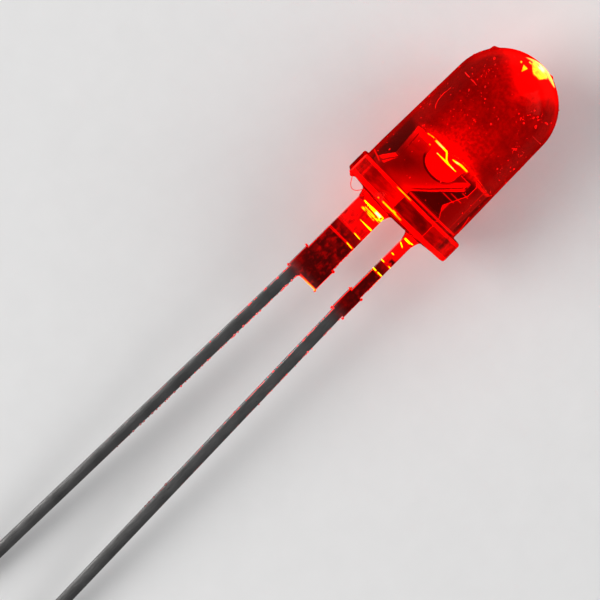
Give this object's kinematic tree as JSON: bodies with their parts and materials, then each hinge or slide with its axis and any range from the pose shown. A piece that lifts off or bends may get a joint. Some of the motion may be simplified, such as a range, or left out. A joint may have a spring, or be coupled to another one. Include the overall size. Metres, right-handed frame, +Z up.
{
  "type": "through-hole led",
  "caption": "Round 5 mm through-hole LED: domed clear red resin body with a flatted flange, reflector cup inside and two steel leads; lit.",
  "frame": {"origin": "centre of the flange's underside, on the lens axis, midway between the leads, which is where the leads' footprint is measured from", "axes": "+Z up as the lamp lies on its flange rim and both lead tips; +X the way the dome points, with the lens axis raised 5.8 degrees from it; +Y the cathode side, where the flange has its flat"},
  "size_m": [0.0356, 0.0056, 0.0059],
  "materials": {
    "red_resin": "clear deep red cast epoxy, glossy, glowing from the lit chip inside",
    "tinned_steel": "tin-plated steel strip, satin, with cropped and sheared edges",
    "chip": "lit semiconductor chip",
    "silver_glue": "silver-filled epoxy, dull",
    "gold_wire": "drawn gold wire, bright"
  },
  "bodies": {
    "root": {"lens_body": "red_resin", "cathode_lead": "tinned_steel", "anode_lead": "tinned_steel", "led_chip": "chip", "chip_glue": "silver_glue", "bond_wire": "gold_wire"}
  },
  "joints": []
}
